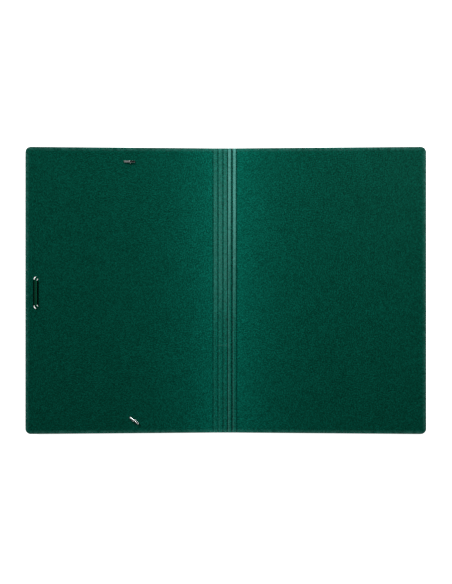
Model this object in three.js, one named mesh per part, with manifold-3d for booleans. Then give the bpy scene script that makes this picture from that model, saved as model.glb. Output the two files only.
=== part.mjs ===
// An elastic-band plan folder of creased pressboard, open on a table with its inside up.
// Millimetres. +X runs from the left cover to the right one, +Y to the top edge, +Z up.
// The origin is on the table, under the middle of the open folder.
import * as THREE from 'three';
import { mergeVertices } from 'three/addons/utils/BufferGeometryUtils.js';
import Module from 'manifold-3d';

const wasm = await Module();
wasm.setup();

// Board
const boardThickness = 0.7;
const folderHeight = 345;
const leftCoverWidth = 225.5;
const rightCoverWidth = 227.5;
const cornerRadius = 6.5;
const coverRise = THREE.MathUtils.degToRad(3.2); // each cover above the table, as its crease holds it

// Spine of strips between creases, pressed in from the inside
const firstStrip = 6; // the strips' widths, from the left cover to the right one
const secondStrip = 6.1;
const thirdStrip = 5.6;
const fourthStrip = 5.3;
const fifthStrip = 5.8;
const creaseDepth = 0.35; // whole fall of the inner face at a crease
const shoulderDrop = 0.12; // the part of that fall which is a soft shoulder across the strip
const grooveHalfWidth = 0.7;
const beadHeight = 0.25; // raised bead that the crease leaves on the outside
const beadHalfWidth = 0.9;
const hingeGap = 0.3; // between the spine and a cover, along the crease that they turn on
const creaseSteps = 8;

// Elastic cord and its holes in the left cover
const cordDiameter = 3;
const cordClearance = 0.3; // from the cord, or a bar, to the board that it lies on
const cordSides = 8;
const bendRadius = 1.8;
const sideHoleClearance = 0.9; // round the cord
const sideHoleInset = 12.5; // from the outer edge
const sideHoleSpacing = 33.4;
const sideHolesBelowMiddle = 2.7;
const endHoleClearance = 0.5; // round a bar that is pushed through lengthwise
const topHoleInset = 124.6; // from the outer edge
const topHoleFromEdge = 17.3; // from the top edge
const bottomHoleInset = 130;
const bottomHoleFromEdge = 15.8;

// Rolled metal bars that end the cord
const barLength = 13.3;
const barDiameter = 2.6;
const barSheet = 0.4;
const barSeam = 0.3; // width of the seam along the closed half
const barMouth = 2; // width of the open half's mouth
const barEndRound = 0.35;
const crimpCount = 3;
const crimpDepth = 0.2;
const crimpPitch = 1.7;
const crimpFromMiddle = 1.5;
const topBarHeading = 0;
const bottomBarHeading = THREE.MathUtils.degToRad(-38);
const topBarRoll = THREE.MathUtils.degToRad(-25); // the mouth faces up and towards the top edge
const bottomBarRoll = THREE.MathUtils.degToRad(150); // the mouth faces the board

// Places that follow from the sizes
const strips = [firstStrip, secondStrip, thirdStrip, fourthStrip, fifthStrip];
const spineWidth = strips.reduce((sum, width) => sum + width, 0);
const halfStrip = Math.min(...strips) / 2; // how far a crease reaches to each side
const innerFaceHeight = beadHeight + boardThickness;
const middleOfSpine = (leftCoverWidth - rightCoverWidth) * Math.cos(coverRise) / 2;
const cordRadius = cordDiameter / 2;
const insideRun = cordClearance + cordRadius;
const outsideRun = -(boardThickness + cordClearance + cordRadius);
const sideHoleX = -(leftCoverWidth - sideHoleInset);
const upperSideHole = new THREE.Vector2(sideHoleX, sideHoleSpacing / 2 - sideHolesBelowMiddle);
const lowerSideHole = new THREE.Vector2(sideHoleX, -sideHoleSpacing / 2 - sideHolesBelowMiddle);
const topHole = new THREE.Vector2(-(leftCoverWidth - topHoleInset), folderHeight / 2 - topHoleFromEdge);
const bottomHole = new THREE.Vector2(-(leftCoverWidth - bottomHoleInset), bottomHoleFromEdge - folderHeight / 2);
const sideHoleRadius = cordRadius + sideHoleClearance;
const endHoleRadius = barDiameter / 2 + endHoleClearance;

// Materials
const board = new THREE.MeshStandardMaterial({ color: 0x044839, roughness: 0.5, metalness: 0 });
const elastic = new THREE.MeshStandardMaterial({ color: 0x0e4030, roughness: 0.85, metalness: 0 });
const steel = new THREE.MeshStandardMaterial({ color: 0xc9ccce, roughness: 0.25, metalness: 1 });

// A closed solid of a geometry, without the flat triangles that a closed curve's repeated point leaves
function toSolid(geometry) {
  const bare = geometry.clone();
  bare.deleteAttribute('normal');
  bare.deleteAttribute('uv');
  const merged = mergeVertices(bare, 1e-3);
  const corners = [];
  for (let i = 0; i < merged.index.count; i += 3) {
    const triangle = [merged.index.getX(i), merged.index.getX(i + 1), merged.index.getX(i + 2)];
    if (new Set(triangle).size === 3) {
      corners.push(...triangle);
    }
  }
  return new wasm.Manifold(new wasm.Mesh({
    numProp: 3,
    vertProperties: new Float32Array(merged.attributes.position.array),
    triVerts: new Uint32Array(corners),
  }));
}

function toGeometry(solid) {
  const { vertProperties, triVerts } = solid.getMesh();
  const geometry = new THREE.BufferGeometry();
  geometry.setAttribute('position', new THREE.BufferAttribute(new Float32Array(vertProperties), 3));
  geometry.setIndex(new THREE.BufferAttribute(new Uint32Array(triVerts), 1));
  geometry.computeVertexNormals();
  return geometry;
}

function namedMesh(name, geometry, material) {
  const mesh = new THREE.Mesh(geometry, material);
  mesh.name = name;
  return mesh;
}

// A smooth hump, 1 at a crease and 0 from halfWidth away
function hump(distance, halfWidth) {
  return distance < halfWidth ? (1 + Math.cos(Math.PI * distance / halfWidth)) / 2 : 0;
}

// Heights of the sheet's two faces at a distance from the nearest crease, from the flat inner face
function innerFace(distance) {
  const shoulder = Math.max(0, 1 - distance / halfStrip) ** 2;
  return -shoulderDrop * shoulder - (creaseDepth - shoulderDrop) * hump(distance, grooveHalfWidth);
}

function outerFace(distance) {
  return -boardThickness - beadHeight * hump(distance, beadHalfWidth);
}

// Places along the section round one crease, closest together at the crease
function placesRoundCrease(crease) {
  const places = [];
  for (let step = -creaseSteps; step <= creaseSteps; step += 1) {
    places.push(crease + Math.sign(step) * halfStrip * (step / creaseSteps) ** 2);
  }
  return places;
}

// The section of the creased sheet from one edge to the other, drawn with its inner face at 0
function sheetSection(from, to, creases) {
  const inside = creases.flatMap(placesRoundCrease).filter((x) => x > from && x < to);
  const places = [from, ...inside, to].sort((a, b) => a - b);
  const spaced = places.filter((x, i) => i === 0 || x - places[i - 1] > 1e-6);
  const nearest = (x) => Math.min(...creases.map((crease) => Math.abs(x - crease)));
  const top = spaced.map((x) => new THREE.Vector2(x, innerFace(nearest(x))));
  const bottom = spaced.map((x) => new THREE.Vector2(x, outerFace(nearest(x))));
  return new THREE.Shape([...bottom, ...top.reverse()]);
}

function sheet(section, length) {
  const geometry = new THREE.ExtrudeGeometry(section, { depth: length, bevelEnabled: false });
  return geometry.translate(0, 0, -length / 2).rotateX(Math.PI / 2);
}

function spineGeometry() {
  const creases = [-spineWidth / 2];
  for (const width of strips) {
    creases.push(creases[creases.length - 1] + width);
  }
  const half = (spineWidth - hingeGap) / 2;
  return sheet(sheetSection(-half, half, creases), folderHeight);
}

// A cover's outline from its crease to its two rounded outer corners; side is -1 for left, 1 for right
function coverOutline(width, side) {
  const cornerX = side * (width - cornerRadius);
  const cornerY = folderHeight / 2 - cornerRadius;
  const clockwise = side < 0;
  const outline = new THREE.Shape();
  outline.moveTo(0, -folderHeight / 2);
  outline.lineTo(cornerX, -folderHeight / 2);
  outline.absarc(cornerX, -cornerY, cornerRadius, -Math.PI / 2, clockwise ? -Math.PI : 0, clockwise);
  outline.absarc(cornerX, cornerY, cornerRadius, clockwise ? Math.PI : 0, Math.PI / 2, clockwise);
  outline.lineTo(0, folderHeight / 2);
  return outline;
}

function drill(solid, { centre, radius }) {
  const punch = new THREE.CylinderGeometry(radius, radius, 4 * boardThickness, 32);
  return solid.subtract(toSolid(punch.rotateX(Math.PI / 2).translate(centre.x, centre.y, -boardThickness / 2)));
}

// A cover is the sheet's section, from the hinge crease outwards, trimmed to the cover's outline
function coverGeometry(width, side, holes) {
  const ends = [side * hingeGap / 2, side * (width + halfStrip)].sort((a, b) => a - b);
  const plank = sheet(sheetSection(ends[0], ends[1], [0]), folderHeight + halfStrip);
  const depth = 4 * boardThickness;
  const trim = new THREE.ExtrudeGeometry(coverOutline(width, side), { depth, bevelEnabled: false })
    .translate(0, 0, -boardThickness / 2 - depth / 2);
  return toGeometry(holes.reduce(drill, toSolid(plank).intersect(toSolid(trim))));
}

// The cord's centre line through hand-set points, with its stations spread evenly from point to point,
// so that the short bends get as many as the long runs
class CordRoute extends THREE.CatmullRomCurve3 {
  constructor(points) {
    super(points, false, 'centripetal');
  }

  getUtoTmapping(u) {
    return u;
  }
}

// A point beside a hole: along is the distance from the hole's centre on the heading
function beside(hole, heading, along, height) {
  return new THREE.Vector3(hole.x + heading.x * along, hole.y + heading.y * along, height);
}

// The cord's quarter bend from upright in a hole to level along its heading, at the run's height
function bend(hole, heading, height) {
  const turn = Math.sign(height);
  return [15, 40, 65, 90].map((degrees) => {
    const angle = THREE.MathUtils.degToRad(degrees);
    const along = bendRadius * (1 - Math.cos(angle));
    return beside(hole, heading, along, height - turn * bendRadius * (1 - Math.sin(angle)));
  });
}

function cordPoints() {
  const down = new THREE.Vector2(0, -1);
  const up = new THREE.Vector2(0, 1);
  const topToSide = upperSideHole.clone().sub(topHole).normalize();
  const sideToTop = topToSide.clone().negate();
  const sideToBottom = bottomHole.clone().sub(lowerSideHole).normalize();
  const bottomToSide = sideToBottom.clone().negate();
  const longRun = upperSideHole.distanceTo(topHole);
  const lowRun = lowerSideHole.distanceTo(bottomHole);
  return [
    beside(topHole, topToSide, 0, 0),
    ...bend(topHole, topToSide, outsideRun),
    beside(topHole, topToSide, 10, outsideRun),
    beside(topHole, topToSide, longRun / 2, outsideRun),
    beside(upperSideHole, sideToTop, 10, outsideRun),
    ...bend(upperSideHole, sideToTop, outsideRun).reverse(),
    ...bend(upperSideHole, down, insideRun),
    beside(upperSideHole, down, 7, insideRun),
    beside(lowerSideHole, up, 7, insideRun),
    ...bend(lowerSideHole, up, insideRun).reverse(),
    ...bend(lowerSideHole, sideToBottom, outsideRun),
    beside(lowerSideHole, sideToBottom, 10, outsideRun),
    beside(lowerSideHole, sideToBottom, lowRun / 2, outsideRun),
    beside(bottomHole, bottomToSide, 10, outsideRun),
    ...bend(bottomHole, bottomToSide, outsideRun).reverse(),
    beside(bottomHole, bottomToSide, 0, 0),
  ];
}

function cordGeometry() {
  const points = cordPoints();
  const section = new THREE.Shape();
  section.absarc(0, 0, cordRadius, 0, 2 * Math.PI, false);
  return new THREE.ExtrudeGeometry(section, {
    extrudePath: new CordRoute(points),
    steps: 2 * (points.length - 1),
    curveSegments: cordSides / 2,
    bevelEnabled: false,
  });
}

// The bar's outside, turned about X: rounded ends, and crimps round the half that grips the cord
function barProfile() {
  const radius = barDiameter / 2;
  const end = barLength / 2;
  const points = [new THREE.Vector2(0, -end)];
  const addRound = (centre, from, to) => {
    for (let i = 0; i <= 3; i += 1) {
      const angle = from + (to - from) * i / 3;
      points.push(new THREE.Vector2(
        radius - barEndRound + barEndRound * Math.cos(angle),
        centre + barEndRound * Math.sin(angle),
      ));
    }
  };
  addRound(-end + barEndRound, -Math.PI / 2, 0);
  for (let crimp = 0; crimp < crimpCount; crimp += 1) {
    const middle = crimpFromMiddle + crimp * crimpPitch;
    for (const offset of [-crimpDepth * 2, 0, crimpDepth * 2]) {
      points.push(new THREE.Vector2(offset === 0 ? radius - crimpDepth : radius, middle + offset));
    }
  }
  addRound(end - barEndRound, 0, Math.PI / 2);
  points.push(new THREE.Vector2(0, end));
  return points;
}

// A bar rolled from sheet, along X: a narrow seam on one half, and an open mouth along the other
function barGeometry() {
  const outside = new THREE.LatheGeometry(barProfile(), 24);
  const bore = new THREE.CylinderGeometry(barDiameter / 2 - barSheet, barDiameter / 2 - barSheet, barLength + 2, 24);
  const seam = new THREE.BoxGeometry(barSeam, barLength + 2, barDiameter);
  const mouth = new THREE.BoxGeometry(barMouth, barLength / 2 + 1, barDiameter);
  seam.translate(0, 0, barDiameter / 2);
  mouth.translate(0, barLength / 4 + 0.5, barDiameter / 2);
  const rolled = toSolid(outside).subtract(toSolid(bore)).subtract(toSolid(seam)).subtract(toSolid(mouth));
  return toGeometry(rolled).rotateZ(-Math.PI / 2);
}

function bar(name, hole, heading, roll) {
  const mesh = namedMesh(name, barGeometry(), steel);
  mesh.rotation.set(roll, 0, heading, 'ZYX');
  mesh.position.set(hole.x, hole.y, cordClearance + barDiameter / 2);
  return mesh;
}

function leftCover() {
  const holes = [
    { centre: upperSideHole, radius: sideHoleRadius },
    { centre: lowerSideHole, radius: sideHoleRadius },
    { centre: topHole, radius: endHoleRadius },
    { centre: bottomHole, radius: endHoleRadius },
  ];
  const cover = new THREE.Group();
  cover.position.set(-spineWidth / 2, 0, 0);
  cover.rotation.y = coverRise;
  cover.add(namedMesh('left_cover', coverGeometry(leftCoverWidth, -1, holes), board));
  cover.add(namedMesh('elastic_cord', cordGeometry(), elastic));
  cover.add(bar('top_toggle_bar', topHole, topBarHeading, topBarRoll));
  cover.add(bar('bottom_toggle_bar', bottomHole, bottomBarHeading, bottomBarRoll));
  return cover;
}

function rightCover() {
  const cover = new THREE.Group();
  cover.position.set(spineWidth / 2, 0, 0);
  cover.rotation.y = -coverRise;
  cover.add(namedMesh('right_cover', coverGeometry(rightCoverWidth, 1, []), board));
  return cover;
}

const folder = new THREE.Group();
folder.position.set(middleOfSpine, 0, innerFaceHeight);
folder.add(namedMesh('spine', spineGeometry(), board));
folder.add(leftCover());
folder.add(rightCover());

export default folder;
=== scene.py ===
"""Looks of an open pressboard folder with a corner elastic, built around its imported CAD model."""
import logging
import math
from dataclasses import dataclass, field
from enum import Enum
from typing import Any, Callable

import bmesh
import bpy
from bpy.types import Material, Node, NodeSocket, NodeTree, Object
from mathutils import Matrix, Vector


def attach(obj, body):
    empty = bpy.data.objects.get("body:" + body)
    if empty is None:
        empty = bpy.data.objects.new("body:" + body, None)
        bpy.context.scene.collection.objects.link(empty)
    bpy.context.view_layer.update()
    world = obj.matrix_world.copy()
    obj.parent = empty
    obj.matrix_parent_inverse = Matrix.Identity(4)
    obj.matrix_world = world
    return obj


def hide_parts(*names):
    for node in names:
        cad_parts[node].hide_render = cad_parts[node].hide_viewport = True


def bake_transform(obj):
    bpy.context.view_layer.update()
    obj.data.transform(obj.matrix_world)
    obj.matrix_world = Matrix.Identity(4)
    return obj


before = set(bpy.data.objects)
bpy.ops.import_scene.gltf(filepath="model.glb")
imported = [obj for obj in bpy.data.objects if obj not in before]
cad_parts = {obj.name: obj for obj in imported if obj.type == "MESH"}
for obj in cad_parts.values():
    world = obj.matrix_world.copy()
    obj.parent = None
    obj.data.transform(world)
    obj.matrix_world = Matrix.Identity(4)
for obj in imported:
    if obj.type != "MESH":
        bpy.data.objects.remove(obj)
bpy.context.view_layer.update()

LOG = logging.getLogger("folder")
MM = 0.001
# Two places nearer than this, in metres, are taken as one.
SAME = 1e-6


class Side(Enum):
    """The two covers, by the sign of their place along X."""

    LEFT = -1
    RIGHT = 1


class Skin(Enum):
    """The board's two faces, by the way that they look."""

    INSIDE = 1
    OUTSIDE = -1


class Part(Enum):
    """The parts of a mesh that can be selected, by where the mesh keeps them."""

    VERT = "verts"
    EDGE = "edges"
    FACE = "faces"


def linear(hex_colour: str) -> tuple[float, float, float, float]:
    """Turns an sRGB hex value into the linear colour that a shader takes.

    Args:
        hex_colour: Six hex digits, such as "2A5F4C".

    Returns:
        Red, green and blue from 0 to 1, and full opacity.
    """
    shares = [int(hex_colour[i : i + 2], 16) / 255 for i in (0, 2, 4)]
    red, green, blue = (c / 12.92 if c <= 0.04045 else ((c + 0.055) / 1.055) ** 2.4 for c in shares)
    return (red, green, blue, 1.0)


def add_node(tree: NodeTree, kind: str, settings: dict[str, Any], links: dict[Any, Any]) -> Node:
    """Adds a node with its settings and inputs.

    Args:
        tree: Node tree that gets the node.
        kind: Blender's name of the node type.
        settings: Properties of the node.
        links: For each input's name or number a socket to link, a node for its first output, or a value.

    Returns:
        The new node.
    """
    node = tree.nodes.new(kind)
    for name, value in settings.items():
        setattr(node, name, value)
    for name, value in links.items():
        source = value.outputs[0] if isinstance(value, Node) else value
        if isinstance(source, NodeSocket):
            tree.links.new(source, node.inputs[name])
        else:
            node.inputs[name].default_value = source
    return node


def distance_from(tree: NodeTree, value: NodeSocket, centre: float) -> Node:
    """Finds how far a value lies from a centre, to either side.

    Args:
        tree: Node tree that gets the nodes.
        value: The value.
        centre: What it is compared with.

    Returns:
        A node that gives the distance.
    """
    offset = add_node(tree, "ShaderNodeMath", {"operation": "SUBTRACT"}, {0: value, 1: centre})
    return add_node(tree, "ShaderNodeMath", {"operation": "ABSOLUTE"}, {0: offset})


def new_material(name: str) -> tuple[Material, NodeTree]:
    """Makes an empty material.

    Args:
        name: The material's name.

    Returns:
        The material and its node tree.
    """
    material = bpy.data.materials.new(name)
    material.use_nodes = True
    material.node_tree.nodes.clear()
    return material, material.node_tree


def only(piece: Object) -> None:
    """Selects one object and makes it the active one.

    Args:
        piece: The object.
    """
    bpy.ops.object.select_all(action="DESELECT")
    piece.select_set(True)
    bpy.context.view_layer.objects.active = piece


def select(piece: Object, part: Part, test: Callable[[list[Vector]], bool]) -> None:
    """Selects the vertices, edges or faces that pass a test and nothing else, in edit mode.

    Args:
        piece: Object in edit mode.
        part: What is selected.
        test: Says for the places of a part's corners whether the part is wanted.
    """
    bpy.ops.mesh.select_mode(type=part.name)
    shape = bmesh.from_edit_mesh(piece.data)
    for item in (*shape.faces, *shape.edges, *shape.verts):
        item.select_set(False)
    for item in getattr(shape, part.value):
        corners = [item.co] if part is Part.VERT else [vert.co for vert in item.verts]
        if test(corners):
            item.select_set(True)
    if part is Part.VERT:
        shape.select_flush(True)
    bmesh.update_edit_mesh(piece.data)


def apply_modifier(piece: Object, kind: str, settings: dict[str, Any]) -> None:
    """Adds a modifier with its settings and applies it.

    Args:
        piece: Object that is shaped.
        kind: Blender's name of the modifier type.
        settings: Properties of the modifier.
    """
    only(piece)
    modifier = piece.modifiers.new(kind.lower(), kind)
    for name, value in settings.items():
        setattr(modifier, name, value)
    bpy.ops.object.modifier_apply(modifier=modifier.name)


def smooth(piece: Object, degrees: float) -> None:
    """Shades a piece smooth except over edges sharper than an angle."""
    only(piece)
    bpy.ops.object.shade_smooth_by_angle(angle=math.radians(degrees))


def dress(piece: Object, material: Material) -> None:
    """Gives a piece its one material.

    Args:
        piece: The piece.
        material: What it is made of.
    """
    piece.data.materials.clear()
    piece.data.materials.append(material)


@dataclass(frozen=True)
class Sheet:
    """The creased sheet's sizes, in metres, as the CAD model has them."""

    height: float = 345 * MM
    thickness: float = 0.7 * MM
    left_width: float = 225.5 * MM
    right_width: float = 227.5 * MM
    corner_radius: float = 6.5 * MM
    rise: float = math.radians(3.2)
    strips: tuple[float, ...] = (6 * MM, 6.1 * MM, 5.6 * MM, 5.3 * MM, 5.8 * MM)
    crease_depth: float = 0.35 * MM
    shoulder_drop: float = 0.12 * MM
    groove_half: float = 0.7 * MM
    bead_height: float = 0.25 * MM
    bead_half: float = 0.9 * MM

    @property
    def spine_width(self) -> float:
        """Width of the whole spine."""
        return sum(self.strips)

    @property
    def inner_height(self) -> float:
        """Height of the spine's inner face above the table."""
        return self.bead_height + self.thickness

    @property
    def core_height(self) -> float:
        """Height of the middle of the board's thickness above the table."""
        return self.bead_height + self.thickness / 2

    @property
    def middle(self) -> float:
        """Place of the spine's middle along X."""
        return (self.left_width - self.right_width) * math.cos(self.rise) / 2

    @property
    def creases(self) -> list[float]:
        """Places of the creases along X, from left to right."""
        left = self.middle - self.spine_width / 2
        return [left + sum(self.strips[:number]) for number in range(len(self.strips) + 1)]

    @property
    def reach(self) -> float:
        """How far a crease shapes the sheet to each side of it."""
        return min(self.strips) / 2

    @property
    def seam(self) -> float:
        """The crease in whose groove the two halves of the modelled sheet meet."""
        return self.creases[2]

    def hinge(self, side: Side) -> float:
        """Place along X of the crease that a cover turns on."""
        return self.middle + side.value * self.spine_width / 2

    def width(self, side: Side) -> float:
        """Width of one cover."""
        return self.left_width if side is Side.LEFT else self.right_width

    def outer(self, side: Side) -> float:
        """Place of a cover's outer edge on the flat sheet."""
        return self.hinge(side) + side.value * self.width(side)

    def hump(self, distance: float, half: float) -> float:
        """A smooth hump, 1 at a crease and 0 from half away."""
        return (1 + math.cos(math.pi * distance / half)) / 2 if distance < half else 0.0

    def fall(self, x: float, skin: Skin) -> float:
        """How far a face lies below its flat height at a place along X.

        Args:
            x: Place along X on the flat sheet.
            skin: Which face.

        Returns:
            The fall in metres, below 0 for down.
        """
        distance = min(abs(x - crease) for crease in self.creases)
        if skin is Skin.OUTSIDE:
            return -self.bead_height * self.hump(distance, self.bead_half)
        shoulder = max(0.0, 1 - distance / self.reach) ** 2
        groove = self.crease_depth - self.shoulder_drop
        return -self.shoulder_drop * shoulder - groove * self.hump(distance, self.groove_half)


SHEET = Sheet()


@dataclass(frozen=True)
class FlatPlace:
    """A point's place on the flat sheet, whole and by its axes, in the nodes of the board's material."""

    tree: NodeTree
    whole: NodeSocket
    x: NodeSocket
    y: NodeSocket
    z: NodeSocket


@dataclass(frozen=True)
class Pressboard:
    """Calendered pressboard, dyed green in the pulp and pressed hard between steel rollers.

    To the eye it is a deep, even green, mottled by clumps of fibre, with a fine speckle, a low sheen along
    the pressed skin, and paler, duller board wherever folding or handling has broken that skin. Shade is
    painted into the creases and around the elastic, and sheen and highlights onto the spine's strips.
    """

    dark: str = "00271D"
    body: str = "013E30"
    light: str = "045646"
    # Pale colour of rubbed wear, which also gives the painted sheen and highlights on the spine.
    pale_wear_and_sheen: str = "66ABA1"
    roughness: float = 0.5
    ior: float = 1.5
    specular: float = 0.015
    # Bundles of fibre are about 0.4 mm wide. The speckle is drawn 1.2 mm wide, one pixel, so that it shows.
    speckle_mm: float = 1.2
    # Clumps of fibre, and the clouds that the wet pulp settles in, at their real size.
    clump_mm: float = 6.0
    clump_share: float = 0.13
    cloud_mm: float = 30.0
    cloud_share: float = 0.07
    # Where the three patterns together are darkest, usual and lightest.
    tone_stops: tuple[float, float, float] = (0.31, 0.5, 0.69)
    # Pressed fibres stand up 0.05 mm. They are drawn 0.9 mm apart, coarser than they are, so that they show.
    fibre_mm: float = 0.9
    fibre_bump_mm: float = 0.05
    # Painted shade in the creases: what each crease keeps of the board's colour, from left to right, and
    # where around a crease, in millimetres, its painted dark line starts, is whole, is whole for the last
    # time and ends.
    crease_shade: tuple[float, ...] = (0.55, 0.5, 0.5, 0.35, 0.05, 0.4)
    crease_shade_mm: tuple[float, float, float, float] = (-1.0, -0.45, 0.35, 0.8)
    # How pale each strip is, by wear with a painted sheen over it, what is left of that at its top, and how
    # pale it is at its foot.
    strip_wear_and_sheen: tuple[float, ...] = (0.16, 0.19, 0.2, 0.58, 0.64)
    strip_top: tuple[float, ...] = (0.6, 0.6, 0.6, 1.0, 1.0)
    strip_foot: float = 0.015
    # Between which shares of each strip's width its pale band of wear and painted sheen lies, what share the
    # band's soft edges take, and how strong the band is at its right side.
    strip_band: tuple[tuple[float, float], ...] = (
        (0.12, 0.9), (0.12, 0.9), (0.12, 0.9), (0.1, 0.8), (0.22, 0.84))
    band_edge: float = 0.12
    band_right: float = 0.84
    # Heights along the spine from its middle, in millimetres: where the wear and painted sheen are whole,
    # where they have ended, and between which two they ease off again towards the top.
    sheen_and_wear_whole_from: tuple[float, ...] = (35, 35, 40, 145, 115)
    sheen_and_wear_down_to: tuple[float, ...] = (-75, -75, -75, -20, -70)
    eased_between: tuple[float, float] = (110, 165)
    # The ends of the wear and painted sheen wander by up to 80 mm in streaks 2.4 mm wide and eight times as
    # long. Their patches are 3 mm wide, as fingers rub such board, between these values of their pattern and
    # with these strengths.
    ragged_mm: float = 80.0
    streak_mm: float = 2.4
    streak_stretch: float = 0.12
    patch_mm: float = 3.0
    patch_range: tuple[float, float] = (0.32, 0.62)
    patch_strength: tuple[float, float] = (0.6, 1.1)
    # How bright the painted highlight right of each crease is, and its strength at shares of the strip's
    # width.
    line_highlight: tuple[float, ...] = (0.03, 0.04, 0.04, 0.19, 0.12)
    highlight_stops: tuple[tuple[float, float], ...] = ((0.12, 1.0), (0.3, 1.0), (0.48, 0.15), (0.9, 0.0))
    # A thin scuff across the spine: its height, its half width from whole to gone, its strength and reach.
    scuff_at: float = -66.5 * MM
    scuff_half: tuple[float, float] = (0.2 * MM, 1.3 * MM)
    scuff_wear: float = 0.09
    scuff_reach: tuple[tuple[float, float], ...] = ((0.15, 0.0), (0.22, 1.0), (0.62, 0.9), (0.7, 0.0))
    # Beside the spine the board gains these shares of its red, green and blue, over a width of 40 mm.
    spine_side_lift: tuple[float, float, float] = (1.5, 0.97, 1.15)
    spine_side_width: float = 40 * MM
    # Painted shadow of the elastic: what the board under and beside it keeps of its colour, the band's half
    # width from whole to gone, how far its ends fade, and over what height above the board's core it starts,
    # which keeps it off the outer face.
    elastic_shadow: float = 0.1
    shadow_half: tuple[float, float] = (3.0 * MM, 3.7 * MM)
    shadow_end: float = 3 * MM
    shadow_rise: float = 0.1 * MM
    # The rubbed rim is 5.5 mm wide, in patches of 4 mm.
    rim_width: float = 5.5 * MM
    rim_patch_mm: float = 4.0
    rim_patch_range: tuple[float, float] = (0.38, 0.68)
    rim_wear: tuple[float, float] = (0.03, 0.26)

    def build(self) -> Material:
        """Makes the material.

        Returns:
            The material, whose patterns lie on the flat sheet's own coordinates.
        """
        material, tree = new_material("green_calendered_pressboard")
        whole = add_node(tree, "ShaderNodeAttribute", {"attribute_name": "sheet"}, {}).outputs["Vector"]
        flat = FlatPlace(tree, whole, *add_node(tree, "ShaderNodeSeparateXYZ", {}, {0: whole}).outputs)
        colour = self.dyed_pulp(flat)
        for change in (self.paler_beside_spine, self.spine_wear_and_sheen, self.painted_crease_shade, self.elastic_painted_shadow, self.rubbed_rim):
            colour = change(flat, colour)
        surface = add_node(tree, "ShaderNodeBsdfPrincipled", {}, {
            "Base Color": colour,
            "Roughness": self.roughness,
            "Metallic": 0.0,
            "IOR": self.ior,
            "Specular IOR Level": self.specular,
            "Normal": self.skin(flat),
        })
        add_node(tree, "ShaderNodeOutputMaterial", {}, {"Surface": surface})
        return material

    def dyed_pulp(self, flat: FlatPlace) -> NodeSocket:
        """Colours the board by its speckle, its clumps of fibre and broad, faint clouds.

        Args:
            flat: Place on the flat sheet.

        Returns:
            The board's colour.
        """
        tree = flat.tree
        speckle, clump, cloud = (
            add_node(tree, "ShaderNodeTexNoise", {}, {
                "Vector": flat.whole, "Scale": 1 / (size * MM), "Detail": detail, "Roughness": roughness})
            for size, detail, roughness in (
                (self.speckle_mm, 1.0, 0.5), (self.clump_mm, 3.0, 0.6), (self.cloud_mm, 2.0, 0.5))
        )
        fine = add_node(tree, "ShaderNodeMix", {}, {0: self.clump_share, 2: speckle, 3: clump})
        tone = add_node(tree, "ShaderNodeMix", {}, {0: self.cloud_share, 2: fine, 3: cloud})
        colour = add_node(tree, "ShaderNodeValToRGB", {}, {0: tone})
        darkest, usual, lightest = self.tone_stops
        first, last = colour.color_ramp.elements
        first.position, first.color = darkest, linear(self.dark)
        last.position, last.color = lightest, linear(self.light)
        colour.color_ramp.elements.new(usual).color = linear(self.body)
        return colour.outputs[0]

    def by_stops(self, tree: NodeTree, place: Node, stops: list[tuple[float, float]]) -> NodeSocket:
        """Turns a place across the spine into a value.

        Args:
            tree: The material's nodes.
            place: Gives the place across the spine, from 0 to 1.
            stops: Places with their values, in order.

        Returns:
            The value, straight from stop to stop.
        """
        shades = add_node(tree, "ShaderNodeValToRGB", {}, {0: place})
        ramp = shades.color_ramp
        first, *middle, last = stops
        for element, (position, value) in zip(ramp.elements, (first, last)):
            element.position, element.color = position, (value, value, value, 1)
        for position, value in middle:
            ramp.elements.new(position).color = (value, value, value, 1)
        return shades.outputs[0]

    def strip_fade(self, tree: NodeTree, ragged: Node, number: int) -> Node:
        """Finds how pale one strip is, by wear and painted sheen, at each height along the spine.

        Args:
            tree: The material's nodes.
            ragged: Gives the height along the spine, made to wander.
            number: The strip's number from the left.

        Returns:
            A node that gives the wear and painted sheen.
        """
        half = self.ragged_mm / 2
        grows = add_node(tree, "ShaderNodeMapRange", {"interpolation_type": "SMOOTHSTEP"}, {
            "Value": ragged,
            "From Min": (self.sheen_and_wear_down_to[number] + half) * MM,
            "From Max": (self.sheen_and_wear_whole_from[number] + half) * MM,
            "To Min": self.strip_foot,
            "To Max": self.strip_wear_and_sheen[number],
        })
        eases = add_node(tree, "ShaderNodeMapRange", {"interpolation_type": "SMOOTHSTEP"}, {
            "Value": ragged,
            "From Min": (self.eased_between[0] + half) * MM,
            "From Max": (self.eased_between[1] + half) * MM,
            "To Min": 1.0,
            "To Max": self.strip_top[number],
        })
        return add_node(tree, "ShaderNodeMath", {"operation": "MULTIPLY"}, {0: grows, 1: eases})

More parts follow.
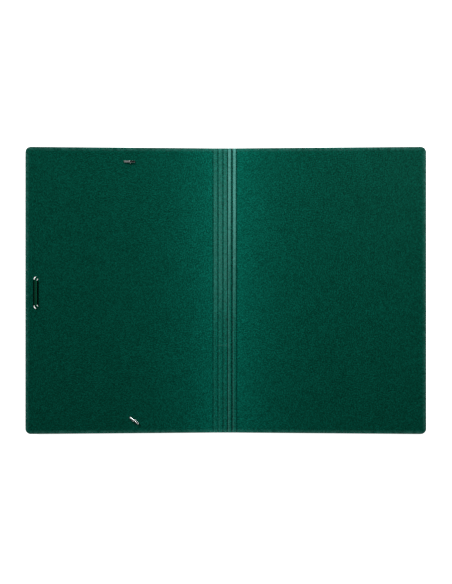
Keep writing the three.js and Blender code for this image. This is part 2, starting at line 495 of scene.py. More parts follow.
    def spine_wear_and_sheen(self, flat: FlatPlace, colour: NodeSocket) -> NodeSocket:
        """Paints a highlight line beside each crease, and pales the strips towards the top with wear and a
        painted sheen.

        Args:
            flat: Place on the flat sheet.
            colour: The board's colour so far.

        Returns:
            The colour with the spine's wear, painted sheen and painted highlights.
        """
        tree, left = flat.tree, SHEET.hinge(Side.LEFT)
        across = add_node(tree, "ShaderNodeMapRange", {"clamp": False}, {
            "Value": flat.x, "From Min": left, "From Max": SHEET.hinge(Side.RIGHT)})
        patch = add_node(tree, "ShaderNodeTexNoise", {}, {
            "Vector": flat.whole, "Scale": 1 / (self.patch_mm * MM), "Detail": 3.0, "Roughness": 0.7})
        least, most = self.patch_strength
        patchiness = add_node(tree, "ShaderNodeMapRange", {}, {
            "Value": patch, "From Min": self.patch_range[0], "From Max": self.patch_range[1],
            "To Min": least, "To Max": most})
        stretched = add_node(tree, "ShaderNodeVectorMath", {"operation": "MULTIPLY"}, {
            0: flat.whole, 1: (1.0, self.streak_stretch, 1.0)})
        streak = add_node(tree, "ShaderNodeTexNoise", {}, {
            "Vector": stretched, "Scale": 1 / (self.streak_mm * MM), "Detail": 2.0, "Roughness": 0.6})
        ragged = add_node(tree, "ShaderNodeMath", {"operation": "MULTIPLY_ADD"}, {
            0: streak, 1: self.ragged_mm * MM, 2: flat.y})
        lines = [(0.0, 0.0)]
        amount: float | Node = 0.0
        edges = [(crease - left) / SHEET.spine_width for crease in SHEET.creases]
        for number, (start, end) in enumerate(zip(edges, edges[1:])):
            share = end - start
            first, last = self.strip_band[number]
            band = [
                (0.0, 0.0),
                (start + first * share, 0.0),
                (start + (first + self.band_edge) * share, 1.0),
                (start + (last - self.band_edge) * share, self.band_right),
                (start + last * share, 0.0),
                (1.0, 0.0),
            ]
            # Each strip's pale band: wear together with a painted sheen.
            pale_wear_and_sheen = add_node(tree, "ShaderNodeMath", {"operation": "MULTIPLY"}, {
                0: self.by_stops(tree, across, band), 1: self.strip_fade(tree, ragged, number)})
            amount = add_node(tree, "ShaderNodeMath", {"operation": "ADD"}, {0: amount, 1: pale_wear_and_sheen})
            # Painted highlight on the groove's wall that faces the light, right of each crease.
            pale = self.line_highlight[number]
            lines += [(start + at * share, strength * pale) for at, strength in self.highlight_stops]
        amount = add_node(tree, "ShaderNodeMath", {"operation": "ADD"}, {
            0: amount, 1: self.by_stops(tree, across, [*lines, (1.0, 0.0)])})
        amount = add_node(tree, "ShaderNodeMath", {"operation": "MULTIPLY"}, {0: amount, 1: patchiness})
        amount = add_node(tree, "ShaderNodeMath", {"operation": "ADD", "use_clamp": True}, {
            0: amount, 1: self.scuff(flat, across)})
        return add_node(tree, "ShaderNodeMix", {"data_type": "RGBA"}, {
            0: amount, 6: colour, 7: linear(self.pale_wear_and_sheen)}).outputs[2]

    def scuff(self, flat: FlatPlace, across: Node) -> Node:
        """Finds how pale the thin scuff across the spine is.

        Args:
            flat: Place on the flat sheet.
            across: Gives the place across the spine, from 0 to 1.

        Returns:
            A node that gives the wear.
        """
        whole, gone = self.scuff_half
        thin = add_node(flat.tree, "ShaderNodeMapRange", {"interpolation_type": "SMOOTHSTEP"}, {
            "Value": distance_from(flat.tree, flat.y, self.scuff_at),
            "From Min": whole, "From Max": gone, "To Min": self.scuff_wear, "To Max": 0.0})
        return add_node(flat.tree, "ShaderNodeMath", {"operation": "MULTIPLY"}, {
            0: thin, 1: self.by_stops(flat.tree, across, list(self.scuff_reach))})

    def painted_crease_shade(self, flat: FlatPlace, colour: NodeSocket) -> NodeSocket:
        """Paints shade into each crease as a dark line along it.

        Args:
            flat: Place on the flat sheet.
            colour: The board's colour so far.

        Returns:
            The colour with the painted crease shade.
        """
        margin = 2 * MM
        low, high = SHEET.hinge(Side.LEFT) - margin, SHEET.hinge(Side.RIGHT) + margin
        across = add_node(flat.tree, "ShaderNodeMapRange", {}, {
            "Value": flat.x, "From Min": low, "From Max": high})
        starts, whole, last, ends = self.crease_shade_mm
        stops = [(0.0, 1.0)]
        for crease, dark in zip(SHEET.creases, self.crease_shade):
            for offset, value in ((starts, 1.0), (whole, dark), (last, dark), (ends, 1.0)):
                stops.append(((crease + offset * MM - low) / (high - low), value))
        # Painted shade: a dark line along each crease.
        shade = self.by_stops(flat.tree, across, [*stops, (1.0, 1.0)])
        return add_node(flat.tree, "ShaderNodeMix", {"data_type": "RGBA", "blend_type": "MULTIPLY"}, {
            0: 1.0, 6: colour, 7: shade}).outputs[2]

    def paler_beside_spine(self, flat: FlatPlace, colour: NodeSocket) -> NodeSocket:
        """Lightens the board beside the spine.

        Args:
            flat: Place on the flat sheet.
            colour: The board's colour so far.

        Returns:
            The colour with the paler bands.
        """
        tree, half = flat.tree, SHEET.spine_width / 2
        beyond = add_node(tree, "ShaderNodeMath", {"operation": "MAXIMUM"}, {
            0: distance_from(tree, flat.x, SHEET.middle), 1: half})
        fall = add_node(tree, "ShaderNodeMath", {"operation": "MULTIPLY_ADD"}, {
            0: beyond, 1: -1 / self.spine_side_width, 2: half / self.spine_side_width})
        fall = add_node(tree, "ShaderNodeMath", {"operation": "EXPONENT"}, {0: fall})
        lift = add_node(tree, "ShaderNodeVectorMath", {"operation": "MULTIPLY_ADD"}, {
            0: fall, 1: self.spine_side_lift, 2: (1.0, 1.0, 1.0)})
        return add_node(tree, "ShaderNodeVectorMath", {"operation": "MULTIPLY"}, {
            0: colour, 1: lift}).outputs[0]

    def elastic_painted_shadow(self, flat: FlatPlace, colour: NodeSocket) -> NodeSocket:
        """Paints the elastic's shadow on the inner face, under and beside the cord between the side holes.

        Args:
            flat: Place on the flat sheet.
            colour: The board's colour so far.

        Returns:
            The colour with the elastic's painted shadow.
        """
        tree, upper, lower = flat.tree, LACING.upper_side, LACING.lower_side
        whole, gone = self.shadow_half
        half = (upper.y - lower.y) / 2
        near = add_node(tree, "ShaderNodeMapRange", {"interpolation_type": "SMOOTHSTEP"}, {
            "Value": distance_from(tree, flat.x, SHEET.hinge(Side.LEFT) + upper.x),
            "From Min": whole, "From Max": gone, "To Min": 1.0, "To Max": 0.0})
        between = add_node(tree, "ShaderNodeMapRange", {"interpolation_type": "SMOOTHSTEP"}, {
            "Value": distance_from(tree, flat.y, (upper.y + lower.y) / 2),
            "From Min": half - self.shadow_end, "From Max": half, "To Min": 1.0, "To Max": 0.0})
        inside = add_node(tree, "ShaderNodeMapRange", {}, {
            "Value": flat.z, "From Min": SHEET.core_height, "From Max": SHEET.core_height + self.shadow_rise})
        amount = add_node(tree, "ShaderNodeMath", {"operation": "MULTIPLY"}, {0: near, 1: between})
        amount = add_node(tree, "ShaderNodeMath", {"operation": "MULTIPLY"}, {0: amount, 1: inside})
        # Painted shadow of the elastic on the board.
        shade = add_node(tree, "ShaderNodeMapRange", {}, {
            "Value": amount, "To Min": 1.0, "To Max": self.elastic_shadow})
        return add_node(tree, "ShaderNodeVectorMath", {"operation": "SCALE"}, {
            0: colour, "Scale": shade}).outputs[0]

    def rubbed_rim(self, flat: FlatPlace, colour: NodeSocket) -> NodeSocket:
        """Rubs the board a little paler, here and there, near its outer edges.

        Args:
            flat: Place on the flat sheet.
            colour: The board's colour so far.

        Returns:
            The colour with the rubbed rim.
        """
        tree = flat.tree
        left, right = SHEET.outer(Side.LEFT), SHEET.outer(Side.RIGHT)
        from_side = add_node(tree, "ShaderNodeMath", {"operation": "SUBTRACT"}, {
            0: (right - left) / 2, 1: distance_from(tree, flat.x, (right + left) / 2)})
        from_end = add_node(tree, "ShaderNodeMath", {"operation": "SUBTRACT"}, {
            0: SHEET.height / 2, 1: distance_from(tree, flat.y, 0.0)})
        nearest = add_node(tree, "ShaderNodeMath", {"operation": "MINIMUM"}, {0: from_side, 1: from_end})
        band = add_node(tree, "ShaderNodeMapRange", {"interpolation_type": "SMOOTHSTEP"}, {
            "Value": nearest, "From Min": 0.0, "From Max": self.rim_width, "To Min": 1.0, "To Max": 0.0})
        patch = add_node(tree, "ShaderNodeTexNoise", {}, {
            "Vector": flat.whole, "Scale": 1 / (self.rim_patch_mm * MM), "Detail": 4.0, "Roughness": 0.7})
        least, most = self.rim_wear
        patchiness = add_node(tree, "ShaderNodeMapRange", {}, {
            "Value": patch, "From Min": self.rim_patch_range[0], "From Max": self.rim_patch_range[1],
            "To Min": least, "To Max": most})
        amount = add_node(tree, "ShaderNodeMath", {"operation": "MULTIPLY"}, {0: band, 1: patchiness})
        return add_node(tree, "ShaderNodeMix", {"data_type": "RGBA"}, {
            0: amount, 6: colour, 7: linear(self.pale_wear_and_sheen)}).outputs[2]

    def skin(self, flat: FlatPlace) -> Node:
        """Raises the pressed fibres a few hundredths of a millimetre.

        Args:
            flat: Place on the flat sheet.

        Returns:
            A node that gives the surface's direction.
        """
        fibre = add_node(flat.tree, "ShaderNodeTexNoise", {}, {
            "Vector": flat.whole, "Scale": 1 / (self.fibre_mm * MM), "Detail": 2.0, "Roughness": 0.6})
        return add_node(flat.tree, "ShaderNodeBump", {}, {
            "Strength": 0.6, "Distance": self.fibre_bump_mm * MM, "Height": fibre})


@dataclass(frozen=True)
class BraidedElastic:
    """Round elastic, a rubber core under a braided polyester sheath.

    To the eye it is a dull dark green with a fine crossing braid, brighter where one strand rises over
    another. Shade is painted into the braid's valleys and along both flanks of the cord.
    """

    valley_shade: str = "02170F"
    strand: str = "0E6A4C"
    roughness: float = 0.8
    ior: float = 1.45
    specular: float = 0.06
    # Eight yarns that go round the cord in 7.2 mm, about twice as coarse as on a real 3 mm cord, so that the
    # braid shows.
    carriers: int = 8
    pitch_mm: float = 7.2
    braid_bump_mm: float = 0.12
    # Painted shade on the flanks: they keep this share of the strands' light. It grows to the whole between
    # these sines of the turn.
    flank_light: float = 0.2
    flank_between: tuple[float, float] = (0.45, 0.9)

    def build(self) -> Material:
        """Makes the material.

        Returns:
            The material, whose braid follows the cord's own UV map, turns across and metres along.
        """
        material, tree = new_material("green_braided_elastic")
        cord = add_node(tree, "ShaderNodeUVMap", {"uv_map": "cord"}, {})
        turns, metres, _ = add_node(tree, "ShaderNodeSeparateXYZ", {}, {0: cord}).outputs
        around = add_node(tree, "ShaderNodeMath", {"operation": "MULTIPLY"}, {
            0: turns, 1: math.pi * self.carriers})
        rise = add_node(tree, "ShaderNodeMath", {"operation": "MULTIPLY"}, {
            0: metres, 1: math.pi * self.carriers / (self.pitch_mm * MM)})
        waves = []
        for turn in ("ADD", "SUBTRACT"):
            phase = add_node(tree, "ShaderNodeMath", {"operation": turn}, {0: around, 1: rise})
            waves.append(add_node(tree, "ShaderNodeMath", {"operation": "SINE"}, {0: phase}))
        braid = add_node(tree, "ShaderNodeMath", {"operation": "MAXIMUM"}, {0: waves[0], 1: waves[1]})
        height = add_node(tree, "ShaderNodeMapRange", {}, {"Value": braid, "From Min": -1.0, "From Max": 1.0})
        side = add_node(tree, "ShaderNodeMath", {"operation": "MULTIPLY"}, {0: turns, 1: 2 * math.pi})
        side = add_node(tree, "ShaderNodeMath", {"operation": "SINE"}, {0: side})
        side = add_node(tree, "ShaderNodeMath", {"operation": "ABSOLUTE"}, {0: side})
        low, high = self.flank_between
        # Painted shade along both flanks of the cord.
        painted_flank_shade = add_node(tree, "ShaderNodeMapRange", {"interpolation_type": "SMOOTHSTEP"}, {
            "Value": side, "From Min": low, "From Max": high, "To Min": self.flank_light, "To Max": 1.0})
        light = add_node(tree, "ShaderNodeMath", {"operation": "MULTIPLY"}, {0: height, 1: painted_flank_shade})
        # Painted shade in the braid's valleys, lighter up the strands.
        colour = add_node(tree, "ShaderNodeMix", {"data_type": "RGBA"}, {
            0: light, 6: linear(self.valley_shade), 7: linear(self.strand)})
        bump = add_node(tree, "ShaderNodeBump", {}, {
            "Strength": 0.8, "Distance": self.braid_bump_mm * MM, "Height": height})
        surface = add_node(tree, "ShaderNodeBsdfPrincipled", {}, {
            "Base Color": colour.outputs[2],
            "Roughness": self.roughness,
            "Metallic": 0.0,
            "IOR": self.ior,
            "Specular IOR Level": self.specular,
            "Normal": bump,
        })
        add_node(tree, "ShaderNodeOutputMaterial", {}, {"Surface": surface})
        return material


@dataclass(frozen=True)
class NickelPlate:
    """Thin steel strip, nickel plated and then rolled.

    To the eye it is bright metal with fine drawn lines along the bar. Inside, where no plate holds, the bare
    steel is dull and painted near black as the shade in the hollow.
    """

    bright: str = "E2E8E6"
    dull: str = "9CA29F"
    roughness: float = 0.2
    # Bare dull steel inside the bar, painted near black as the shade in its hollow.
    inside: str = "151614"
    inside_roughness: float = 0.75
    # Plate lies further from the bar's axis than this, and starts over a few hundredths of a millimetre.
    # Nearer the axis the bare steel is painted near black as shade inside the hollow bar.
    plate_from: float = 1.2 * MM
    plate_edge: float = 0.04 * MM
    # Drawn lines are a few hundredths of a millimetre apart. They are 0.25 mm apart here, so that they show.
    line_mm: float = 0.25
    line_bump_mm: float = 0.01
    line_stretch: float = 0.05
    # Stains from fingers, 1.6 mm wide, that dull the plate by half at most and roughen it a little.
    stain_mm: float = 1.6
    stain_most: float = 0.5
    stain_range: tuple[float, float] = (0.45, 0.75)
    rough_range: tuple[float, float] = (0.3, 0.8)
    smoother: float = 0.03
    rougher: float = 0.1

    def build(self) -> Material:
        """Makes the material.

        Returns:
            The material, whose drawn lines follow the bar's own length attribute.
        """
        material, tree = new_material("nickel_plated_steel_strip")
        place = add_node(tree, "ShaderNodeAttribute", {"attribute_name": "strip"}, {}).outputs["Vector"]
        drawn = add_node(tree, "ShaderNodeVectorMath", {"operation": "MULTIPLY"}, {
            0: place, 1: (self.line_stretch, 1.0, 1.0)})
        lines = add_node(tree, "ShaderNodeTexNoise", {}, {
            "Vector": drawn, "Scale": 1 / (self.line_mm * MM), "Detail": 2.0, "Roughness": 0.6})
        stain = add_node(tree, "ShaderNodeTexNoise", {}, {
            "Vector": place, "Scale": 1 / (self.stain_mm * MM), "Detail": 3.0, "Roughness": 0.6})
        tarnish = add_node(tree, "ShaderNodeMapRange", {}, {
            "Value": stain, "From Min": self.stain_range[0], "From Max": self.stain_range[1],
            "To Min": 0.0, "To Max": self.stain_most})
        colour = add_node(tree, "ShaderNodeMix", {"data_type": "RGBA"}, {
            0: tarnish, 6: linear(self.bright), 7: linear(self.dull)})
        rough = add_node(tree, "ShaderNodeMapRange", {}, {
            "Value": stain, "From Min": self.rough_range[0], "From Max": self.rough_range[1],
            "To Min": self.roughness - self.smoother, "To Max": self.roughness + self.rougher})
        depth = add_node(tree, "ShaderNodeSeparateXYZ", {}, {0: place}).outputs["Z"]
        # Inside the bar: bare steel with painted shade.
        plated = add_node(tree, "ShaderNodeMapRange", {}, {
            "Value": depth, "From Min": self.plate_from - self.plate_edge, "From Max": self.plate_from})
        colour = add_node(tree, "ShaderNodeMix", {"data_type": "RGBA"}, {
            0: plated, 6: linear(self.inside), 7: colour.outputs[2]})
        rough = add_node(tree, "ShaderNodeMix", {}, {0: plated, 2: self.inside_roughness, 3: rough})
        bump = add_node(tree, "ShaderNodeBump", {}, {
            "Strength": 0.5, "Distance": self.line_bump_mm * MM, "Height": lines})
        surface = add_node(tree, "ShaderNodeBsdfPrincipled", {}, {
            "Base Color": colour.outputs[2],
            "Roughness": rough,
            "Metallic": 1.0,
            "Normal": bump,
        })
        add_node(tree, "ShaderNodeOutputMaterial", {}, {"Surface": surface})
        return material


@dataclass
class SheetHalf:
    """One cover with its share of the spine, bent at the crease that the cover turns on."""

    side: Side
    name: str
    body: str
    nodes: tuple[str, ...]
    holes: tuple[tuple[float, float, float], ...] = ()
    corner_steps: int = 10
    rim_round: float = 0.12 * MM
    hole_sides: int = 48
    hole_round: float = 0.1 * MM
    crease_steps: int = 7
    turn_half: float = 0.9 * MM
    piece: Object = field(init=False)

    @property
    def hinge(self) -> float:
        """Place of the crease that the cover turns on."""
        return SHEET.hinge(self.side)

    @property
    def outer(self) -> float:
        """Place of the cover's outer edge on the flat sheet."""
        return SHEET.outer(self.side)

    def build(self, board: Material) -> Object:
        """Models the half, marks the flat sheet's coordinates on it, raises its cover and dresses it.

        Args:
            board: The board's material.

        Returns:
            The finished piece.
        """
        self.plate()
        self.creases()
        for hole in self.holes:
            self.punch(*hole)
        self.mark()
        self.raise_cover()
        smooth(self.piece, 40)
        # The big faces set the shading, so that the narrow rim leaves no faint lines across them.
        apply_modifier(self.piece, "WEIGHTED_NORMAL", {"keep_sharp": True})
        dress(self.piece, board)
        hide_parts(*self.nodes)
        inward = Vector((self.hinge - self.side.value * self.turn_half, 0, SHEET.inner_height))
        outward = Vector((self.hinge + self.side.value * self.turn_half, 0, SHEET.inner_height))
        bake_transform(self.piece)
        return self.piece

    def plate(self) -> None:
        """Makes the flat plate with its rounded outer corners and softened rim."""
        inner, outer = SHEET.seam, self.outer
        bpy.ops.object.select_all(action="DESELECT")
        bpy.ops.mesh.primitive_cube_add(size=1, location=((inner + outer) / 2, 0, SHEET.core_height))
        self.piece = bpy.context.active_object
        self.piece.name = self.name
        self.piece.scale = (abs(outer - inner), SHEET.height, SHEET.thickness)
        bpy.ops.object.transform_apply(location=True, rotation=True, scale=True)
        bpy.ops.object.mode_set(mode="EDIT")
        select(self.piece, Part.EDGE, lambda ends: (
            all(abs(end.x - outer) < SAME for end in ends) and abs(ends[0].y - ends[1].y) < SAME))
        bpy.ops.mesh.bevel(offset=SHEET.corner_radius, segments=self.corner_steps, affect="EDGES")
        select(self.piece, Part.EDGE, lambda ends: (
            any(abs(end.x - inner) > SAME for end in ends) and abs(ends[0].z - ends[1].z) < SAME))
        bpy.ops.mesh.bevel(offset=self.rim_round, segments=2, affect="EDGES")
        bpy.ops.object.mode_set(mode="OBJECT")

    def stations(self) -> list[float]:
        """Lists the places along X where the plate is cut so that it can follow the creases.

        Returns:
            The places, closest together at each crease.
        """
        low, high = sorted((SHEET.seam, self.outer))
        places = set()
        for crease in SHEET.creases:
            for step in range(-self.crease_steps, self.crease_steps + 1):
                away = math.copysign(SHEET.reach * (step / self.crease_steps) ** 2, step)
                places.add(round(crease + away, 7))
        return sorted(x for x in places if low + SAME < x < high - SAME)

    def creases(self) -> None:
        """Cuts the plate at each station and lowers its faces there into grooves and beads."""
        only(self.piece)
        bpy.ops.object.mode_set(mode="EDIT")
        for x in self.stations():
            bpy.ops.mesh.select_all(action="SELECT")
            bpy.ops.mesh.bisect(plane_co=(x, 0, 0), plane_no=(1, 0, 0))
        for x in [SHEET.seam, *self.stations()]:
            for skin in Skin:
                drop = SHEET.fall(x, skin)
                if abs(drop) < SAME / 10:
                    continue
                select(self.piece, Part.VERT, lambda spot: (
                    abs(spot[0].x - x) < SAME and (spot[0].z - SHEET.core_height) * skin.value > 0))
                bpy.ops.transform.translate(value=(0, 0, drop))
        bpy.ops.object.mode_set(mode="OBJECT")

    def punch(self, x: float, y: float, radius: float) -> None:
        """Punches a round hole through the flat plate and softens its edge.

        Args:
            x: Place of the hole's centre along X.
            y: Place of its centre along Y.
            radius: Its radius.
        """
        bpy.ops.object.select_all(action="DESELECT")
        bpy.ops.mesh.primitive_cylinder_add(
            vertices=self.hole_sides, radius=radius, depth=8 * SHEET.thickness, location=(x, y, 0))
        cutter = bpy.context.active_object
        apply_modifier(self.piece, "BOOLEAN", {
            "operation": "DIFFERENCE", "object": cutter, "solver": "EXACT"})
        bpy.data.objects.remove(cutter)
        only(self.piece)
        bpy.ops.object.mode_set(mode="EDIT")
        off_circle, off_face = 0.02 * MM, 0.05 * MM

        def on_edge(ends: list[Vector]) -> bool:
            """Whether an edge lies on the hole's circle, on one face."""
            near = all(abs(math.hypot(end.x - x, end.y - y) - radius) < off_circle for end in ends)
            return near and abs(ends[0].z - ends[1].z) < off_face

        select(self.piece, Part.EDGE, on_edge)
        bpy.ops.mesh.bevel(offset=self.hole_round, segments=2, affect="EDGES")
        bpy.ops.object.mode_set(mode="OBJECT")

    def mark(self) -> None:
        """Writes each vertex's place on the flat sheet, which the material reads at every pose."""
        flat = self.piece.data.attributes.new("sheet", "FLOAT_VECTOR", "POINT")
        for vert in self.piece.data.vertices:
            flat.data[vert.index].vector = vert.co

    def raise_cover(self) -> None:
        """Turns the cover up from the table about its crease, the crease itself by shares."""
        only(self.piece)
        bpy.ops.object.mode_set(mode="EDIT")
        sign, half = self.side.value, self.turn_half
        centre = (self.hinge, 0, SHEET.inner_height)
        groups = [(x, x) for x in self.stations() if abs(x - self.hinge) < half]
        groups.append(tuple(sorted((self.hinge + sign * half, self.outer + sign * MM))))
        for low, high in groups:
            away = ((low + high) / 2 - self.hinge) * sign
            share = min(1.0, max(0.0, (away + half) / (2 * half)))
            angle = share * share * (3 - 2 * share) * SHEET.rise
            select(self.piece, Part.VERT, lambda spot: low - SAME < spot[0].x < high + SAME)
            bpy.ops.transform.rotate(value=sign * angle, orient_axis="Y", center_override=centre)
        bpy.ops.object.mode_set(mode="OBJECT")


@dataclass(frozen=True)
class Lacing:
    """Where the elastic goes through the left cover, on the cover's own face, in metres from its crease."""

    side_inset: float = 12.5 * MM
    side_spacing: float = 33.4 * MM
    side_below_middle: float = 2.7 * MM
    side_radius: float = 2.4 * MM
    top_inset: float = 124.6 * MM
    top_from_edge: float = 17.3 * MM
    bottom_inset: float = 130 * MM
    bottom_from_edge: float = 15.8 * MM
    end_radius: float = 1.8 * MM

    @property
    def upper_side(self) -> Vector:
        """Centre of the upper hole near the outer edge."""
        return Vector((self.side_inset - SHEET.left_width, self.side_spacing / 2 - self.side_below_middle))

    @property
    def lower_side(self) -> Vector:
        """Centre of the lower hole near the outer edge."""
        return Vector((self.side_inset - SHEET.left_width, -self.side_spacing / 2 - self.side_below_middle))

    @property
    def top(self) -> Vector:
        """Centre of the hole near the top edge."""
        return Vector((self.top_inset - SHEET.left_width, SHEET.height / 2 - self.top_from_edge))

    @property
    def bottom(self) -> Vector:
        """Centre of the hole near the bottom edge."""
        return Vector((self.bottom_inset - SHEET.left_width, self.bottom_from_edge - SHEET.height / 2))

    @property
    def holes(self) -> tuple[tuple[float, float, float], ...]:
        """Each hole's place on the flat sheet and its radius."""
        spots = ((self.upper_side, self.side_radius), (self.lower_side, self.side_radius),
                 (self.top, self.end_radius), (self.bottom, self.end_radius))
        return tuple((SHEET.hinge(Side.LEFT) + centre.x, centre.y, radius) for centre, radius in spots)

    @property
    def on_cover(self) -> Matrix:
        """The raised left cover's frame, its origin on the crease and its Z out of the inner face."""
        lift = Matrix.Translation((SHEET.hinge(Side.LEFT), 0, SHEET.inner_height))
        return lift @ Matrix.Rotation(SHEET.rise, 4, "Y")


LACING = Lacing()


@dataclass
class ElasticCord:
    """The elastic, laced over the inner face between the side holes and along the outer face to the ends."""

    radius: float = 1.5 * MM
    inside_run: float = 1.8 * MM
    outside_run: float = -2.5 * MM
    bend_radius: float = 1.8 * MM
    bend_steps: int = 8
    straight_step: float = 9 * MM
    tip: float = 0.22 * MM
    sides: int = 24
    piece: Object = field(init=False)

    def quarter(self, hole: Vector, heading: Vector, height: float) -> list[Vector]:
        """Points of the bend from upright in a hole to level along a heading.

        Args:
            hole: The hole's centre.
            heading: Unit vector along the run.
            height: The run's height.

        Returns:
            Points from the hole outwards.
        """
        points = []
        for step in range(self.bend_steps + 1):
            angle = math.pi / 2 * step / self.bend_steps
            spot = hole + heading * (self.bend_radius * (1 - math.cos(angle)))
            drop = self.bend_radius * (1 - math.sin(angle))
            points.append(Vector((spot.x, spot.y, height - math.copysign(drop, height))))
        return points

    def run(self, start: Vector, end: Vector, height: float) -> list[Vector]:
        """Points of a bend, a straight run and a bend, from one hole to another.

        Args:
            start: Centre of the first hole.
            end: Centre of the other hole.
            height: The run's height.

        Returns:
            Points from hole to hole.
        """
        heading = (end - start).normalized()
        out = self.quarter(start, heading, height)
        back = self.quarter(end, -heading, height)[::-1]
        steps = max(2, round((end - start).length / self.straight_step))
        level = [out[-1].lerp(back[0], i / steps) for i in range(1, steps)]
        return [*out, *level, *back]

    def route(self) -> list[Vector]:
        """Follows the cord's centre line from the top hole to the bottom one.

        Returns:
            Points on the cover's own frame.
        """
        first, last = (Vector((hole.x, hole.y, self.tip)) for hole in (LACING.top, LACING.bottom))
        return [
            first,
            *self.run(LACING.top, LACING.upper_side, self.outside_run),
            *self.run(LACING.upper_side, LACING.lower_side, self.inside_run),
            *self.run(LACING.lower_side, LACING.bottom, self.outside_run),
            last,
        ]

    def build(self, elastic: Material) -> Object:
        """Sweeps a ring of points along the route, closes both tips and dresses the cord.

        Args:
            elastic: The cord's material.

        Returns:
            The finished piece.
        """
        points = self.route()
        turns = [2 * math.pi * side / self.sides for side in range(self.sides)]
        shape = bmesh.new()
        uv = shape.loops.layers.uv.new("cord")
        rings, lengths = [], []
        travelled = 0.0
        across = Vector((1, 0, 0))
        for i, point in enumerate(points):
            before, after = points[max(0, i - 1)], points[min(len(points) - 1, i + 1)]
            heading = (after - before).normalized()
            across = (across - heading * across.dot(heading)).normalized()
            upward = heading.cross(across)
            travelled += (point - before).length
            lengths.append(travelled)
            ring = [self.radius * (across * math.cos(turn) + upward * math.sin(turn)) for turn in turns]
            rings.append([shape.verts.new(point + spoke) for spoke in ring])
        for i, (ring, following) in enumerate(zip(rings, rings[1:])):
            for side in range(self.sides):
                beside = (side + 1) % self.sides
                face = shape.faces.new((ring[side], ring[beside], following[beside], following[side]))
                marks = ((side, i), (side + 1, i), (side + 1, i + 1), (side, i + 1))
                for loop, (turn, at) in zip(face.loops, marks):
                    loop[uv].uv = (turn / self.sides, lengths[at])
        shape.faces.new(rings[0][::-1])
        shape.faces.new(rings[-1])
        mesh = bpy.data.meshes.new("braided_cord")
        shape.to_mesh(mesh)
        shape.free()
        mesh.transform(LACING.on_cover)
        self.piece = bpy.data.objects.new("braided_cord", mesh)
        bpy.context.collection.objects.link(self.piece)
        LOG.info("elastic: %.0f mm long", travelled / MM)
        smooth(self.piece, 50)
        dress(self.piece, elastic)
        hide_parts("elastic_cord")
        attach(self.piece, "left_cover")
        return self.piece


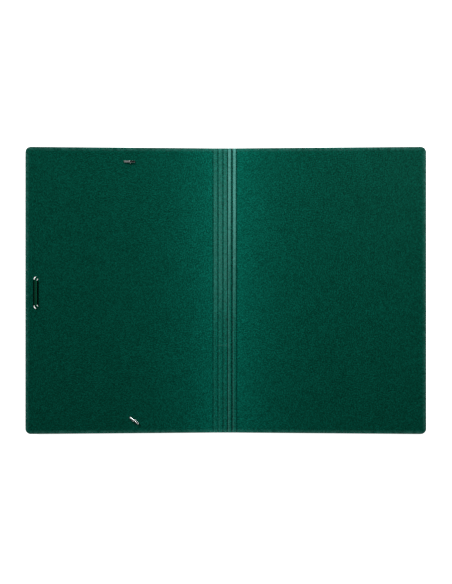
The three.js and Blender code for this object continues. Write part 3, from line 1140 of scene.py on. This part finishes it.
@dataclass
class ToggleBar:
    """A bar rolled from metal strip, one half closed to a narrow seam, the other crimped on the cord."""

    name: str
    node: str
    hole: Vector
    heading: float
    roll: float
    length: float = 13.3 * MM
    radius: float = 1.3 * MM
    strip: float = 0.4 * MM
    seam: float = 0.3 * MM
    mouth: float = 2 * MM
    mouth_from: float = 0.4 * MM
    end_round: float = 0.35 * MM
    edge_round: float = 0.07 * MM
    crimps: int = 3
    crimp_depth: float = 0.2 * MM
    crimp_half: float = 0.55 * MM
    crimp_pitch: float = 1.7 * MM
    crimp_from_middle: float = 1.5 * MM
    height: float = 1.6 * MM
    spin_steps: int = 44
    piece: Object = field(init=False)

    def profile(self) -> list[Vector]:
        """Draws the strip's outer line along the bar, with turned-in ends and crimps.

        Returns:
            Points along the edge of the strip's seam.
        """
        end = self.length / 2
        turned_in = []
        for angle in (math.pi / 2, math.pi / 3, math.pi / 6, 0):
            x = -end + self.end_round * (1 - math.sin(angle))
            turned_in.append((x, self.radius - self.end_round * (1 - math.cos(angle))))
        closed = end - self.end_round - self.mouth_from
        points = [*turned_in, *((-end + self.end_round + closed * i / 4, self.radius) for i in range(1, 5))]
        points.append((self.mouth_from, self.radius))
        for crimp in range(self.crimps):
            middle = self.crimp_from_middle + crimp * self.crimp_pitch
            for step in range(-4, 5):
                dent = self.crimp_depth * (1 + math.cos(math.pi * step / 4)) / 2
                points.append((middle + step / 4 * self.crimp_half, self.radius - dent))
        points += [(-x, radius) for x, radius in reversed(turned_in)]
        half_seam = math.asin(self.seam / 2 / self.radius)
        return [Vector((x, -r * math.sin(half_seam), r * math.cos(half_seam))) for x, r in points]

    def build(self, steel: Material) -> Object:
        """Rolls the strip, opens its mouth, gives it thickness and rounded edges, and lays it over its hole.

        Args:
            steel: The bar's material.

        Returns:
            The finished piece.
        """
        self.rolled_strip()
        apply_modifier(self.piece, "SOLIDIFY", {"thickness": self.strip, "offset": -1.0})
        apply_modifier(self.piece, "BEVEL", {
            "width": self.edge_round,
            "segments": 2,
            "limit_method": "ANGLE",
            "angle_limit": math.radians(50),
        })
        strip = self.piece.data.attributes.new("strip", "FLOAT_VECTOR", "POINT")
        for vert in self.piece.data.vertices:
            x, y, z = vert.co
            strip.data[vert.index].vector = (x, math.atan2(y, z) * self.radius, math.hypot(y, z))
        lay = Matrix.Translation((self.hole.x, self.hole.y, self.height))
        turn = Matrix.Rotation(self.heading, 4, "Z") @ Matrix.Rotation(self.roll, 4, "X")
        self.piece.data.transform(LACING.on_cover @ lay @ turn)
        smooth(self.piece, 40)
        dress(self.piece, steel)
        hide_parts(self.node)
        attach(self.piece, "left_cover")
        return self.piece

    def rolled_strip(self) -> None:
        """Spins the profile nearly all the way round, cuts the mouth and turns every face outwards."""
        points = self.profile()
        mesh = bpy.data.meshes.new(self.name)
        mesh.from_pydata(points, [(i, i + 1) for i in range(len(points) - 1)], [])
        self.piece = bpy.data.objects.new(self.name, mesh)
        bpy.context.collection.objects.link(self.piece)
        only(self.piece)
        bpy.ops.object.mode_set(mode="EDIT")
        bpy.ops.mesh.select_all(action="SELECT")
        whole = 2 * math.pi - 2 * math.asin(self.seam / 2 / self.radius)
        bpy.ops.mesh.spin(steps=self.spin_steps, angle=whole, center=(0, 0, 0), axis=(1, 0, 0))

        def in_mouth(corners: list[Vector]) -> bool:
            """Whether a face lies in the open half, within the mouth's width."""
            centre = sum(corners, Vector()) / len(corners)
            return centre.x > self.mouth_from and centre.z > 0 and abs(centre.y) < self.mouth / 2

        select(self.piece, Part.FACE, in_mouth)
        bpy.ops.mesh.delete(type="FACE")
        bpy.ops.mesh.select_all(action="SELECT")
        bpy.ops.mesh.normals_make_consistent(inside=False)
        bpy.ops.object.mode_set(mode="OBJECT")
        shape = bmesh.new()
        shape.from_mesh(mesh)
        facing = ((face.normal, face.calc_center_median()) for face in shape.faces)
        if sum(normal.y * centre.y + normal.z * centre.z for normal, centre in facing) < 0:
            bmesh.ops.reverse_faces(shape, faces=shape.faces)
            shape.to_mesh(mesh)
        shape.free()


@dataclass(frozen=True)
class Softbox:
    """A square soft light over the table."""

    name: str
    place: tuple[float, float, float]
    watts: float
    side: float = 0.3
    # The point of the table that it faces is at X 0 and at this share of its own Y.
    faced_share: float = 0.9

    def hang(self) -> None:
        """Puts the light in its place, out of the camera's sight."""
        data = bpy.data.lights.new(self.name, "AREA")
        data.shape = "SQUARE"
        data.size = self.side
        data.energy = self.watts
        lamp = bpy.data.objects.new(self.name, data)
        lamp.location = self.place
        away = Vector(self.place) - Vector((0, self.place[1] * self.faced_share, 0))
        lamp.rotation_euler = away.to_track_quat("Z", "Y").to_euler()
        lamp.visible_camera = False
        bpy.context.collection.objects.link(lamp)


@dataclass
class Studio:
    """A white table, soft lights and the camera that looks straight down."""

    distance: float = 1.2
    pixels_per_metre: float = 824.5
    picture_width: int = 452
    aim: tuple[float, float] = (0.3 * MM, -1.9 * MM)
    film_width: float = 36.0
    table_side: float = 6.0
    table_gap: float = 0.1 * MM
    room_light: float = 0.2
    wall_seen: float = 0.85
    # The first lights the folder's upper middle and the bottom bar, the other one the left side from far off.
    lamps: tuple[Softbox, ...] = (
        Softbox("top_softbox", (0.38, 0.39, 0.62), 3.3),
        Softbox("left_softbox", (-1.0, 1.22, 0.95), 29.5),
    )

    def build(self) -> None:
        """Places camera, floor, lights and surroundings."""
        self.camera()
        self.floor()
        self.surroundings()
        for lamp in self.lamps:
            lamp.hang()
        bpy.context.scene.view_settings.view_transform = "Standard"

    def camera(self) -> None:
        """Places the camera over the folder."""
        data = bpy.data.cameras.new("camera")
        data.sensor_fit = "HORIZONTAL"
        data.sensor_width = self.film_width
        data.lens = self.film_width * self.distance * self.pixels_per_metre / self.picture_width
        camera = bpy.data.objects.new("camera", data)
        camera.location = (*self.aim, SHEET.inner_height + self.distance)
        bpy.context.collection.objects.link(camera)
        bpy.context.scene.camera = camera

    def floor(self) -> None:
        """Lays a plain white table top that glows a little, so that it stays white under the covers."""
        bpy.ops.object.select_all(action="DESELECT")
        bpy.ops.mesh.primitive_plane_add(size=self.table_side, location=(0, 0, -self.table_gap))
        floor = bpy.context.active_object
        floor.name = "table_top"
        material, tree = new_material("white_table")
        surface = add_node(tree, "ShaderNodeBsdfPrincipled", {}, {
            "Base Color": linear("F4F4F4"), "Roughness": 0.8, "Specular IOR Level": 0.1,
            "Emission Color": (1, 1, 1, 1), "Emission Strength": 0.9})
        add_node(tree, "ShaderNodeOutputMaterial", {}, {"Surface": surface})
        floor.data.materials.append(material)

    def surroundings(self) -> None:
        """Fills the room with a weak, even light, and shows it as a pale wall."""
        world = bpy.data.worlds.new("room")
        world.use_nodes = True
        tree = world.node_tree
        tree.nodes.clear()
        ray = add_node(tree, "ShaderNodeLightPath", {}, {})
        strength = add_node(tree, "ShaderNodeMapRange", {}, {
            "Value": ray.outputs["Is Camera Ray"], "To Min": self.room_light, "To Max": self.wall_seen})
        wall = add_node(tree, "ShaderNodeBackground", {}, {"Color": (1, 1, 1, 1), "Strength": strength})
        add_node(tree, "ShaderNodeOutputWorld", {}, {"Surface": wall})
        bpy.context.scene.world = world


def main() -> None:
    """Builds every piece in order."""
    logging.basicConfig(level=logging.INFO, format="%(message)s")
    Studio().build()
    board, elastic, steel = Pressboard().build(), BraidedElastic().build(), NickelPlate().build()
    # How the bottom bar is turned on the board, and how far each bar is rolled about its own length.
    bottom_turn, top_roll, bottom_roll = math.radians(-38), math.radians(-36), math.radians(150)
    pieces = [
        SheetHalf(Side.LEFT, "left_cover_board", "left_cover", ("left_cover",), LACING.holes).build(board),
        SheetHalf(Side.RIGHT, "right_cover_board", "right_cover", ("right_cover", "spine")).build(board),
        ElasticCord().build(elastic),
        ToggleBar("top_bar", "top_toggle_bar", LACING.top, 0.0, top_roll).build(steel),
        ToggleBar("bottom_bar", "bottom_toggle_bar", LACING.bottom, bottom_turn, bottom_roll).build(steel),
    ]
    for piece in pieces:
        LOG.info("%s: %d faces", piece.name, len(piece.data.polygons))


if __name__ == "__main__":
    main()
